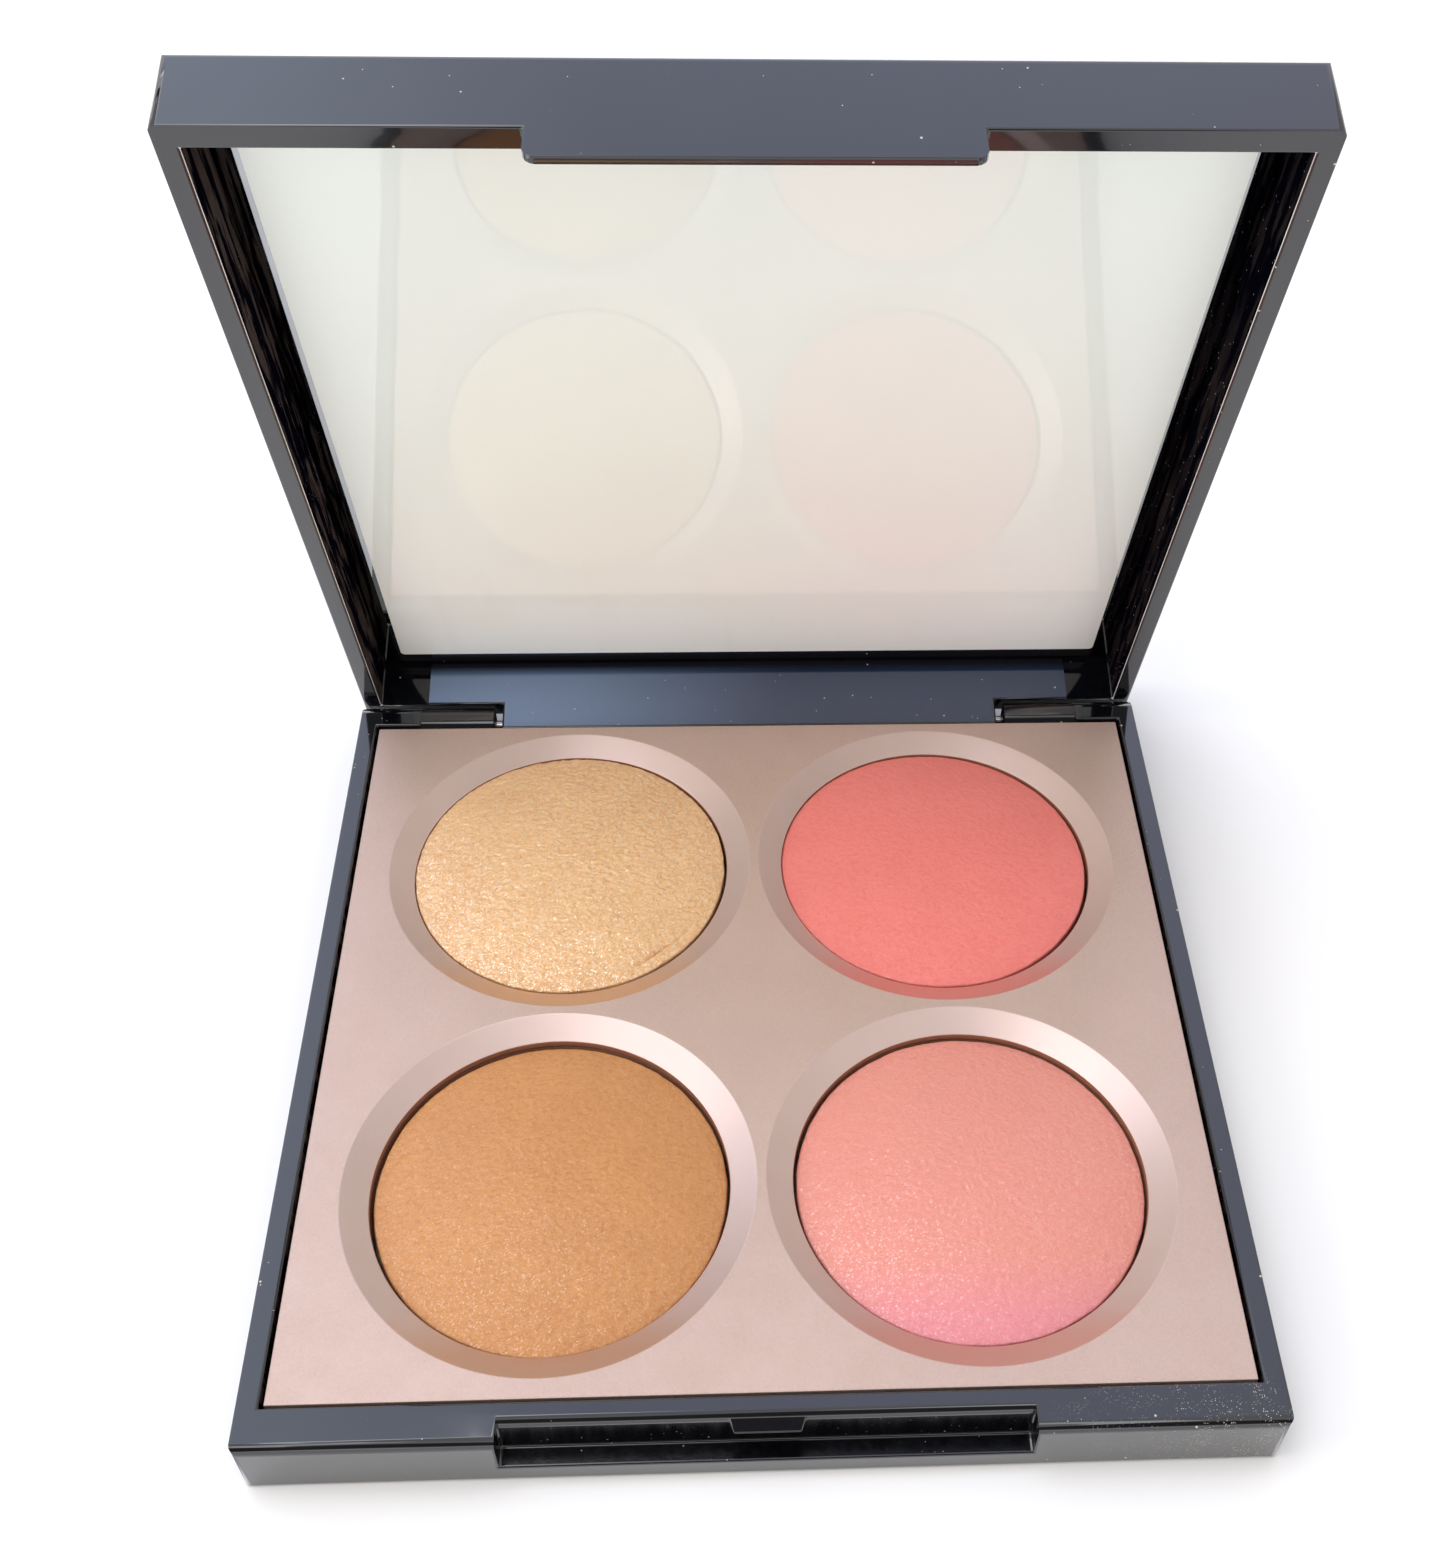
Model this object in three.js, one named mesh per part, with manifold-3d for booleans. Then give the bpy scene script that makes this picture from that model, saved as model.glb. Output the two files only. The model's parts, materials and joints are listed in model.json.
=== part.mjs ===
// Square face palette: a shallow hinged compact with four baked powder domes.
//
// Millimetres, +Z up, +X to the right, +Y towards the hinge. The origin is the centre of the
// base's underside. Everything on the lid is laid out as if the lid were shut, and the lid group
// then turns about the hinge axis to the angle at which the palette is stored.

import * as THREE from 'three';
import { mergeVertices } from 'three/addons/utils/BufferGeometryUtils.js';
import Module from 'manifold-3d';

const wasm = await Module();
wasm.setup();

// ---- driving dimensions -------------------------------------------------------------------

const WIDTH = 95;               // outside, left to right
const DEPTH = 94.3;             // outside, front to back
const BASE_HEIGHT = 7.45;       // table to the base's rim
const LID_HEIGHT = 8.3;         // rim of the lid to its top, when shut
const PARTING_GAP = 0.1;        // between the two rims, when shut
const OPEN_ANGLE = 73.7;        // degrees that the stored lid stands open

const SIDE_WALL = 2;            // thickness of the side walls, base and lid
const BASE_FLOOR = 1.2;
const CORNER_RADIUS = 0.8;      // upright corner edges
const SHELL_EDGE = 0.5;         // rounding of the base's bottom edges
const LID_EDGE = 1;             // rounding of the lid's top edges
const FRONT_EDGE = 0.9;         // rounding along the base's front rim

const HINGE_INSET = 1.8;        // hinge axis to the rear face
const HINGE_HEIGHT = 5.25;      // hinge axis above the table
const KNUCKLE_RADIUS = 2.1;
const KNUCKLE_INNER = 31.5;     // where each base knuckle begins, from the centre line
const KNUCKLE_OUTER = 40.25;    // and where it ends
const LOBE_HALF_WIDTH = 30.5;   // middle of the lid's rear wall, which turns between the knuckles
const PIN_RADIUS = 0.6;
const PIN_CLEARANCE = 0.12;
const PIN_INNER_END = 22;
const PIN_OUTER_END = 39.5;

const PLATE_HALF_WIDTH = 45.13;
const PLATE_FRONT = 4.45;       // from the front face to the deck plate
const PLATE_REAR = 90.2;        // from the front face to the deck plate's back edge
const PLATE_THICKNESS = 1.3;
const PLATE_DROP = 0.35;        // deck plate's top below the rim
const PLATE_GAP = 0.35;         // around the deck plate
const SEAT_WIDTH = 1.2;         // ledge that carries the deck plate

const WELL_PITCH = 41.75;       // between well centres, both ways
const WELL_MIDDLE = 47.65;      // middle of the four wells, from the front face
const WELL_OUTER_RADIUS = 20.4;
const WELL_HOLE_RADIUS = 17.73;
const WELL_CHAMFER_DEPTH = 1.43;
const COLLAR_WALL = 1.3;
const COLLAR_LENGTH = 2.2;      // from the deck plate's top to the collar's end

const PAN_RADIUS = 18.3;
const PAN_WALL = 0.5;
const PAN_TOP = 4.6;            // above the table
const POWDER_RADIUS = 17.25;
const POWDER_EDGE = 5.15;       // top of the powder's straight edge, above the table
const POWDER_CROWN = 2.9;       // rise of the dome above that edge
const GLUE_RADIUS = 12;
const GLUE_THICKNESS = 0.15;
const STACK_GAP = 0.05;         // between pieces stacked in the base

const NOTCH_HALF_WIDTH = 24.3;  // thumb notch in the base's front
const NOTCH_DEPTH = 2;
const NOTCH_SILL = 2.7;         // its floor, above the table
const NOTCH_EDGE = 0.8;         // rounding at the top of its back wall
const CATCH_TOP_WIDTH = 7.1;
const CATCH_BOTTOM_WIDTH = 5.7;
const CATCH_REACH = 0.88;       // how far the catch stands out of the notch's back wall

const TAB_HALF_WIDTH = 18.4;    // tab on the lid's front, which closes over the catch
const TAB_DROP = 3.13;
const TAB_THICKNESS = 0.8;
const TAB_CORNER = 1.1;
const HOOK_HALF_WIDTH = 3.2;
const HOOK_REACH = 0.22;

const LID_FRONT_WALL = 2.4;
const LID_REAR_INNER = 1.4;     // rear wall's inner face, ahead of the hinge axis
const LID_CORNER_INNER = 1;     // the same, in the two corners
const LID_STEP = 39.6;          // where the corners begin, from the centre line
const LID_REAR_EDGE = 0.8;      // rounding of the rear wall's lower edge, beyond the knuckles
const CAVITY_DEPTH = 7.5;
const MIRROR_DEPTH = 5.95;      // lid's rim to the face of the mirror
const MIRROR_THICKNESS = 0.9;
const MIRROR_GAP = 0.4;         // around the mirror
const LID_STACK_GAP = 0.25;     // between pieces stacked in the lid
const TAPE_MARGIN = 7;
const TAPE_THICKNESS = 0.15;
const FILM_MARGIN = 2.2;        // mirror's edge to the protective film
const FILM_THICKNESS = 0.1;

// ---- places that follow from them ---------------------------------------------------------

const FRONT = -DEPTH / 2;
const REAR = DEPTH / 2;
const HALF_WIDTH = WIDTH / 2;
const HINGE_Y = REAR - HINGE_INSET;
const LID_RIM = BASE_HEIGHT + PARTING_GAP;
const LID_TOP = LID_RIM + LID_HEIGHT;
const PLATE_TOP = BASE_HEIGHT - PLATE_DROP;
const SEAT_TOP = PLATE_TOP - PLATE_THICKNESS - STACK_GAP;
const POCKET_FRONT = FRONT + PLATE_FRONT - PLATE_GAP;
const POCKET_REAR = FRONT + PLATE_REAR + PLATE_GAP;
const POCKET_HALF_WIDTH = PLATE_HALF_WIDTH + PLATE_GAP;
const MIRROR_FACE = LID_RIM + MIRROR_DEPTH;
const BEYOND = 5;               // how far cutters run past what they cut

const COLOURS = {
  highlighter: 0xdeb482,
  coral_blush: 0xe47873,
  bronzer: 0xc8915a,
  peach_blush: 0xe49182,
};

const WELLS = [
  { name: 'highlighter', x: -1, y: 1 },
  { name: 'coral_blush', x: 1, y: 1 },
  { name: 'bronzer', x: -1, y: -1 },
  { name: 'peach_blush', x: 1, y: -1 },
].map((well) => ({
  name: well.name,
  x: (well.x * WELL_PITCH) / 2,
  y: FRONT + WELL_MIDDLE + (well.y * WELL_PITCH) / 2,
}));

// ---- solids -------------------------------------------------------------------------------

const X = new THREE.Vector3(1, 0, 0);
const Y = new THREE.Vector3(0, 1, 0);
const Z = new THREE.Vector3(0, 0, 1);

function toSolid(geometry) {
  const bare = geometry.clone();
  bare.deleteAttribute('normal');
  bare.deleteAttribute('uv');
  const merged = mergeVertices(bare, 1e-5);
  return new wasm.Manifold(new wasm.Mesh({
    numProp: 3,
    vertProperties: Float32Array.from(merged.attributes.position.array),
    triVerts: Uint32Array.from(merged.index.array),
  }));
}

function toGeometry(solid) {
  const { vertProperties, triVerts } = solid.getMesh();
  const geometry = new THREE.BufferGeometry();
  geometry.setAttribute('position', new THREE.BufferAttribute(vertProperties, 3));
  geometry.setIndex(new THREE.BufferAttribute(triVerts, 1));
  geometry.computeVertexNormals();
  return geometry;
}

function block(x0, x1, y0, y1, z0, z1) {
  const geometry = new THREE.BoxGeometry(x1 - x0, y1 - y0, z1 - z0);
  geometry.translate((x0 + x1) / 2, (y0 + y1) / 2, (z0 + z1) / 2);
  return toSolid(geometry);
}

// A flat outline, given as points and extruded from one place to another along an axis.
function prism(outline, from, to, basis) {
  const shape = new THREE.Shape(outline.map(([u, v]) => new THREE.Vector2(u, v)));
  const geometry = new THREE.ExtrudeGeometry(shape, { depth: to - from, bevelEnabled: false });
  geometry.translate(0, 0, from);
  geometry.applyMatrix4(new THREE.Matrix4().makeBasis(...basis));
  return toSolid(geometry);
}

// An outline of (y, z) points, run along X.
const alongX = (outline, x0, x1) => prism(outline, x0, x1, [Y, Z, X]);

// An outline of (x, z) points, run along Y.
const alongY = (outline, y0, y1) => prism(outline, -y1, -y0, [X, Z, Y.clone().negate()]);

// An outline of (x, y) points, run along Z.
const alongZ = (outline, z0, z1) => prism(outline, z0, z1, [X, Y, Z]);

// Points on an arc, from one angle to another in degrees.
function arc(u, v, radius, from, to, steps) {
  return Array.from({ length: steps + 1 }, (_, i) => {
    const angle = THREE.MathUtils.degToRad(from + ((to - from) * i) / steps);
    return [u + radius * Math.cos(angle), v + radius * Math.sin(angle)];
  });
}

// A rectangle with each corner rounded by its own radius: [low-left, low-right, top-right, top-left].
function rectangle(u0, u1, v0, v1, radii, steps = 4) {
  const [r0, r1, r2, r3] = radii;
  const corner = (u, v, r, from) => (r > 0 ? arc(u, v, r, from, from + 90, steps) : [[u, v]]);
  return [
    ...corner(u0 + r0, v0 + r0, r0, 180),
    ...corner(u1 - r1, v0 + r1, r1, 270),
    ...corner(u1 - r2, v1 - r2, r2, 0),
    ...corner(u0 + r3, v1 - r3, r3, 90),
  ];
}

function cylinderAlongX(x0, x1, y, z, radius, sides = 24) {
  return alongX(arc(y, z, radius, 0, 360 * (1 - 1 / sides), sides - 1), x0, x1);
}

// A solid of revolution about an upright axis, from (radius, height) points.
function lathe(profile, x, y, segments) {
  const points = profile.map(([radius, height]) => new THREE.Vector2(radius, height));
  const geometry = new THREE.LatheGeometry(points, segments);
  geometry.rotateX(Math.PI / 2);
  geometry.translate(x, y, 0);
  return toSolid(geometry);
}

function bothSides(make) {
  return make(1).add(make(-1));
}

// A stretch of X on the right (side 1) or the left (side -1).
const span = (side, inner, outer) => [Math.min(side * inner, side * outer), Math.max(side * inner, side * outer)];

// ---- base ---------------------------------------------------------------------------------

function hingeBores(outerEnd, innerEnd) {
  return bothSides((side) => {
    const [x0, x1] = span(side, innerEnd, outerEnd);
    return cylinderAlongX(x0, x1, HINGE_Y, HINGE_HEIGHT, PIN_RADIUS + PIN_CLEARANCE);
  });
}

// The base's outer form. Its rear edge is rounded about the hinge axis, which lets the lid turn.
function baseBlank() {
  const rearRadius = BASE_HEIGHT - HINGE_HEIGHT;
  const lowest = THREE.MathUtils.radToDeg(Math.acos(HINGE_INSET / rearRadius));
  const side = [
    [FRONT + SHELL_EDGE, 0],
    [REAR - SHELL_EDGE, 0],
    [REAR, SHELL_EDGE],
    ...arc(HINGE_Y, HINGE_HEIGHT, rearRadius, lowest, 90, 6),
    ...arc(FRONT + FRONT_EDGE, BASE_HEIGHT - FRONT_EDGE, FRONT_EDGE, 90, 180, 4),
    ...arc(FRONT + SHELL_EDGE, SHELL_EDGE, SHELL_EDGE, 180, 225, 2),
  ];
  const plan = rectangle(-HALF_WIDTH, HALF_WIDTH, FRONT, REAR, Array(4).fill(CORNER_RADIUS));
  const front = rectangle(-HALF_WIDTH, HALF_WIDTH, 0, BASE_HEIGHT, [SHELL_EDGE, SHELL_EDGE, 0, 0], 3);
  return alongX(side, -HALF_WIDTH, HALF_WIDTH)
    .intersect(alongZ(plan, 0, BASE_HEIGHT))
    .intersect(alongY(front, FRONT, REAR));
}

function thumbNotch() {
  const back = FRONT + NOTCH_DEPTH;
  const outline = [
    [FRONT - BEYOND, NOTCH_SILL],
    [back, NOTCH_SILL],
    ...arc(back + NOTCH_EDGE, BASE_HEIGHT - NOTCH_EDGE, NOTCH_EDGE, 180, 90, 4),
    [back + NOTCH_EDGE, BASE_HEIGHT + BEYOND],
    [FRONT - BEYOND, BASE_HEIGHT + BEYOND],
  ];
  return alongX(outline, -NOTCH_HALF_WIDTH, NOTCH_HALF_WIDTH);
}

function latchCatch() {
  const back = FRONT + NOTCH_DEPTH;
  const top = BASE_HEIGHT - 0.4;
  const bottom = top - 1.15;
  const wedge = [
    [back + NOTCH_EDGE, bottom],
    [back + NOTCH_EDGE, top],
    [back + 0.1, top],
    [back - CATCH_REACH, top - 0.6],
    [back - CATCH_REACH, bottom + 0.15],
    [back - CATCH_REACH + 0.15, bottom],
  ];
  const trapezoid = [
    [-CATCH_BOTTOM_WIDTH / 2, bottom],
    [CATCH_BOTTOM_WIDTH / 2, bottom],
    [CATCH_TOP_WIDTH / 2, top],
    [-CATCH_TOP_WIDTH / 2, top],
  ];
  return alongX(wedge, -CATCH_TOP_WIDTH / 2, CATCH_TOP_WIDTH / 2)
    .intersect(alongY(trapezoid, FRONT, FRONT + 2 * NOTCH_DEPTH));
}

// Room for the lid's rear lobe between the knuckles, and for the knuckles' own round tops.
function hingeRelief() {
  const wall = POCKET_REAR - 0.15;
  const channelFloor = 2.6;
  const lobe = block(-KNUCKLE_INNER, KNUCKLE_INNER, wall, REAR + BEYOND, channelFloor, BASE_HEIGHT + BEYOND);
  const crowns = bothSides((side) => {
    const [x0, x1] = span(side, KNUCKLE_INNER - 0.1, KNUCKLE_OUTER);
    return block(x0, x1, wall, REAR + BEYOND, HINGE_HEIGHT, BASE_HEIGHT + BEYOND);
  });
  return lobe.add(crowns);
}

// Low rings on the floor that centre the four pans.
function panLocators() {
  const height = 1;
  const inner = PAN_RADIUS + 0.3;
  const outer = inner + 0.9;
  const profile = [
    [inner, BASE_FLOOR - 0.3],
    [outer, BASE_FLOOR - 0.3],
    [outer, BASE_FLOOR + height],
    [inner, BASE_FLOOR + height],
    [inner, BASE_FLOOR - 0.3],
  ];
  return WELLS.map((well) => lathe(profile, well.x, well.y, 32)).reduce((all, ring) => all.add(ring));
}

function baseShell() {
  const pocket = block(
    -POCKET_HALF_WIDTH, POCKET_HALF_WIDTH, POCKET_FRONT, POCKET_REAR, SEAT_TOP, BASE_HEIGHT + BEYOND,
  );
  const hollow = block(
    -POCKET_HALF_WIDTH + SEAT_WIDTH, POCKET_HALF_WIDTH - SEAT_WIDTH,
    POCKET_FRONT + SEAT_WIDTH, POCKET_REAR - SEAT_WIDTH,
    BASE_FLOOR, BASE_HEIGHT,
  );
  const knuckles = bothSides((side) => {
    const [x0, x1] = span(side, KNUCKLE_INNER, KNUCKLE_OUTER);
    return cylinderAlongX(x0, x1, HINGE_Y, HINGE_HEIGHT, KNUCKLE_RADIUS, 32);
  });
  const blank = baseBlank();
  return blank
    .subtract(pocket)
    .subtract(hollow)
    .subtract(thumbNotch())
    .subtract(hingeRelief())
    .add(knuckles.intersect(blank))
    .subtract(hingeBores(PIN_OUTER_END + 0.3, KNUCKLE_INNER - 1))
    .add(latchCatch())
    .add(panLocators());
}

// ---- deck plate and fillings --------------------------------------------------------------

function deckPlate() {
  const front = FRONT + PLATE_FRONT;
  const rear = FRONT + PLATE_REAR;
  const slope = (WELL_OUTER_RADIUS - WELL_HOLE_RADIUS) / WELL_CHAMFER_DEPTH;
  const collarEnd = PLATE_TOP - COLLAR_LENGTH;
  const above = 0.4;
  const sheet = alongZ(
    rectangle(-PLATE_HALF_WIDTH, PLATE_HALF_WIDTH, front, rear, Array(4).fill(0.5), 3),
    PLATE_TOP - PLATE_THICKNESS, PLATE_TOP,
  );
  const collar = [
    [0, collarEnd],
    [WELL_HOLE_RADIUS + COLLAR_WALL, collarEnd],
    [WELL_HOLE_RADIUS + COLLAR_WALL, PLATE_TOP - 0.5 * PLATE_THICKNESS],
    [0, PLATE_TOP - 0.5 * PLATE_THICKNESS],
  ];
  const well = [
    [0, collarEnd - 1],
    [WELL_HOLE_RADIUS, collarEnd - 1],
    [WELL_HOLE_RADIUS, PLATE_TOP - WELL_CHAMFER_DEPTH],
    [WELL_OUTER_RADIUS + slope * above, PLATE_TOP + above],
    [0, PLATE_TOP + above],
  ];
  const segments = 48;
  const collars = WELLS.map(({ x, y }) => lathe(collar, x, y, segments));
  const wells = WELLS.map(({ x, y }) => lathe(well, x, y, segments));
  const filled = collars.reduce((all, each) => all.add(each), sheet);
  return wells.reduce((all, each) => all.subtract(each), filled);
}

function glueDisc({ x, y }) {
  const bottom = BASE_FLOOR + STACK_GAP;
  return lathe([[0, bottom], [GLUE_RADIUS, bottom], [GLUE_RADIUS, bottom + GLUE_THICKNESS],
    [0, bottom + GLUE_THICKNESS]], x, y, 24);
}

const PAN_BOTTOM = BASE_FLOOR + GLUE_THICKNESS + 2 * STACK_GAP;

function pan({ x, y }) {
  const inner = PAN_RADIUS - PAN_WALL;
  return lathe([
    [0, PAN_BOTTOM],
    [PAN_RADIUS, PAN_BOTTOM],
    [PAN_RADIUS, PAN_TOP],
    [inner, PAN_TOP],
    [inner, PAN_BOTTOM + PAN_WALL],
    [0, PAN_BOTTOM + PAN_WALL],
  ], x, y, 36);
}

// A baked dome: a straight edge, a round shoulder and a crown that flattens to the middle.
function powder({ x, y }) {
  const steps = 6;
  const dome = Array.from({ length: steps + 1 }, (_, i) => {
    const angle = (i / steps) * (Math.PI / 2);
    const radius = POWDER_RADIUS * Math.cos(angle) ** 0.8;
    return [i === steps ? 0 : radius, POWDER_EDGE + POWDER_CROWN * Math.sin(angle)];
  });
  const bottom = PAN_BOTTOM + PAN_WALL + STACK_GAP;
  return lathe([[0, bottom], [POWDER_RADIUS, bottom], ...dome], x, y, 40);
}

function hingePin(side) {
  const [x0, x1] = span(side, PIN_INNER_END, PIN_OUTER_END);
  return cylinderAlongX(x0, x1, HINGE_Y, HINGE_HEIGHT, PIN_RADIUS);
}

// ---- lid ----------------------------------------------------------------------------------

function lidBlank() {
  const side = rectangle(FRONT, REAR, LID_RIM, LID_TOP, [0, LID_REAR_EDGE, LID_EDGE, LID_EDGE]);
  const plan = rectangle(-HALF_WIDTH, HALF_WIDTH, FRONT, REAR, Array(4).fill(CORNER_RADIUS));
  const front = rectangle(-HALF_WIDTH, HALF_WIDTH, LID_RIM, LID_TOP, [0, 0, LID_EDGE, LID_EDGE]);
  return alongX(side, -HALF_WIDTH, HALF_WIDTH)
    .intersect(alongZ(plan, LID_RIM, LID_TOP))
    .intersect(alongY(front, FRONT, REAR));
}

// The middle of the lid's rear wall runs down between the knuckles and ends in a round nose.
function hingeLobe() {
  const radius = HINGE_INSET;
  const front = HINGE_Y - LID_REAR_INNER;
  const lastAngle = -180 + THREE.MathUtils.radToDeg(Math.acos(LID_REAR_INNER / radius));
  const outline = [
    [front, LID_RIM + 1.5],
    ...arc(HINGE_Y, HINGE_HEIGHT, radius, lastAngle, 0, 8),
    [REAR, LID_RIM + 1.5],
  ];
  return alongX(outline, -LOBE_HALF_WIDTH, LOBE_HALF_WIDTH);
}

function latchTab() {
  const outline = rectangle(
    -TAB_HALF_WIDTH, TAB_HALF_WIDTH, LID_RIM - TAB_DROP, LID_RIM + 1, [TAB_CORNER, TAB_CORNER, 0, 0],
  );
  const inside = FRONT + TAB_THICKNESS;
  const low = LID_RIM - TAB_DROP + 0.4;
  const hook = [
    [inside - 0.3, low],
    [inside, low],
    [inside + HOOK_REACH, low + 0.35],
    [inside + HOOK_REACH, low + 0.55],
    [inside, low + 0.8],
    [inside - 0.3, low + 0.8],
  ];
  return alongY(outline, FRONT, inside).add(alongX(hook, -HOOK_HALF_WIDTH, HOOK_HALF_WIDTH));
}

const CAVITY = {
  x: HALF_WIDTH - SIDE_WALL,
  front: FRONT + LID_FRONT_WALL,
  rear: HINGE_Y - LID_REAR_INNER,
};

function lidShell() {
  const ceiling = LID_RIM + CAVITY_DEPTH;
  const cavity = block(-CAVITY.x, CAVITY.x, CAVITY.front, CAVITY.rear, LID_RIM - BEYOND, ceiling);
  const corners = bothSides((side) => {
    const [x0, x1] = span(side, LID_STEP, CAVITY.x);
    return block(x0, x1, CAVITY.rear - 1, HINGE_Y - LID_CORNER_INNER, LID_RIM - BEYOND, ceiling);
  });
  return lidBlank()
    .subtract(cavity)
    .subtract(corners)
    .add(hingeLobe())
    .add(latchTab())
    .subtract(hingeBores(LOBE_HALF_WIDTH + 1, PIN_INNER_END - 0.3));
}

function layer(margin, z0, z1, radius) {
  const outline = rectangle(
    -CAVITY.x + margin, CAVITY.x - margin, CAVITY.front + margin, CAVITY.rear - margin,
    Array(4).fill(radius), 3,
  );
  return alongZ(outline, z0, z1);
}

const mirrorGlass = () => layer(MIRROR_GAP, MIRROR_FACE, MIRROR_FACE + MIRROR_THICKNESS, 0.5);

function mirrorTape() {
  const bottom = MIRROR_FACE + MIRROR_THICKNESS + LID_STACK_GAP;
  return layer(TAPE_MARGIN, bottom, bottom + TAPE_THICKNESS, 2);
}

function mirrorFilm() {
  const top = MIRROR_FACE - LID_STACK_GAP;
  return layer(MIRROR_GAP + FILM_MARGIN, top - FILM_THICKNESS, top, 0.5);
}

// ---- scene graph --------------------------------------------------------------------------

function part(name, solid, colour, roughness, metalness = 0) {
  const material = new THREE.MeshStandardMaterial({ color: colour, roughness, metalness });
  const mesh = new THREE.Mesh(toGeometry(solid), material);
  mesh.name = name;
  return mesh;
}

const BLACK = 0x14161b;

const base = new THREE.Group();
base.add(part('base_shell', baseShell(), BLACK, 0.15));
base.add(part('deck_plate', deckPlate(), 0xd6b8a8, 0.38, 0.6));
for (const well of WELLS) {
  base.add(part(`pan_glue_${well.name}`, glueDisc(well), 0xe8e2d0, 0.5));
  base.add(part(`pan_${well.name}`, pan(well), 0xb9bcc0, 0.4, 1));
  base.add(part(`powder_${well.name}`, powder(well), COLOURS[well.name], 0.8));
}
base.add(part('hinge_pin_left', hingePin(-1), 0xc4c6c9, 0.3, 1));
base.add(part('hinge_pin_right', hingePin(1), 0xc4c6c9, 0.3, 1));

// The lid's pieces are moved so that the hinge axis is the lid group's own X axis.
const lid = new THREE.Group();
const onHinge = new THREE.Group();
lid.position.set(0, HINGE_Y, HINGE_HEIGHT);
lid.rotation.x = -THREE.MathUtils.degToRad(OPEN_ANGLE);
onHinge.position.set(0, -HINGE_Y, -HINGE_HEIGHT);
onHinge.add(part('lid_shell', lidShell(), BLACK, 0.15));
onHinge.add(part('mirror_glass', mirrorGlass(), 0xe6eaec, 0.03, 1));
onHinge.add(part('mirror_tape', mirrorTape(), 0xd8d8d4, 0.8));
onHinge.add(part('mirror_film', mirrorFilm(), 0xe9e7db, 0.35));
lid.add(onHinge);

const group = new THREE.Group();
group.add(base, lid);

export default group;
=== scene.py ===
import json
import math

import bmesh
import bpy
from mathutils import Euler, Matrix, Vector, noise


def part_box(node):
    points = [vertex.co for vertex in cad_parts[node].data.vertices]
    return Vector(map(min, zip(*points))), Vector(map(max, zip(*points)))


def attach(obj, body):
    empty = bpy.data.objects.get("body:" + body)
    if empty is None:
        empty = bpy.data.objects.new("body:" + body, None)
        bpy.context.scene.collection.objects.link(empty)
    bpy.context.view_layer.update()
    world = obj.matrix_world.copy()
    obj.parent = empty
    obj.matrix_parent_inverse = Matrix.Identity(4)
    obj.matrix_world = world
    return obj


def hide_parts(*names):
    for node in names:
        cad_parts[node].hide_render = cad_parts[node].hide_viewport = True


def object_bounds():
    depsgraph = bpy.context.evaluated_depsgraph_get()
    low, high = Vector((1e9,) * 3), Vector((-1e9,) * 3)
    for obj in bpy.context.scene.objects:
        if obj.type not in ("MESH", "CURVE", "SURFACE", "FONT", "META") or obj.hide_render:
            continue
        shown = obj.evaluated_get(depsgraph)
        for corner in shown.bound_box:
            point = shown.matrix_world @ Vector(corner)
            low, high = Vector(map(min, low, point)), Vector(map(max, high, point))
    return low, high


# Looks of a four-well face powder compact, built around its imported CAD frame.
# Metres in the row frame: +Z up, the hinge towards +Y, the front towards -Y.

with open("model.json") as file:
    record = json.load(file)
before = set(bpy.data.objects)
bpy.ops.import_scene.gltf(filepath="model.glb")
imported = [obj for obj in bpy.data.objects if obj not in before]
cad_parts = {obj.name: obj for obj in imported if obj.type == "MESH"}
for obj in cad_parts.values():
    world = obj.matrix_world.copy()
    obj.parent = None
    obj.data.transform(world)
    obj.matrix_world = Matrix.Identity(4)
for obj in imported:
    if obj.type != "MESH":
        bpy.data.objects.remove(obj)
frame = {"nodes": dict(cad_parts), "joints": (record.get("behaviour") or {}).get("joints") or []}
cad_low, cad_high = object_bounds()
noise.seed_set(7)       # noise_vector draws its offsets from this seed, and from the clock without it

MM = 0.001
SHADES = ("highlighter", "coral_blush", "bronzer", "peach_blush")

# ---- sizes the CAD's boxes don't give, in metres ---------------------------------------------

WELL_OUTER_RADIUS = 20.4 * MM
WELL_HOLE_RADIUS = 17.73 * MM
WELL_CHAMFER_DEPTH = 1.43 * MM
COLLAR_WALL = 1.3 * MM
PLATE_THICKNESS = 1.3 * MM
WELL_SEGMENTS = 144

POWDER_EDGE_HEIGHT = 5.15 * MM      # top of the straight side, above the table
POWDER_SHOULDER = 0.16 * MM         # rounding where the dome meets its side
POWDER_HEADROOM = 0.12 * MM         # room for the relief under the CAD dome's top
POWDER_FOOT_INSET = 0.1 * MM        # the side's taper down to the pan
POWDER_RINGS = 110
POWDER_SEGMENTS = 420
# rings round the dome's edge: share of the shoulder outwards, and drop in millimetres
SHOULDER_STEPS = ((0.55, 0.05), (0.87, 0.16), (1.0, 0.3), (1.0, 1.2))

PAN_WALL = 0.5 * MM
PAN_CURL = 0.12 * MM
PAN_SEGMENTS = 96
GLUE_SEGMENTS = 64
PIN_SEGMENTS = 32
PIN_CHAMFER = 0.12 * MM

SHELL_ROUNDING = 0.24 * MM
DECK_BEVEL = 0.1 * MM
MIRROR_BEVEL = 0.5 * MM
TAPE_BEVEL = 0.04 * MM
FILM_BEVEL = 0.03 * MM

# ---- where the shells' finishes change, in metres, with the lid shut -------------------------

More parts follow.
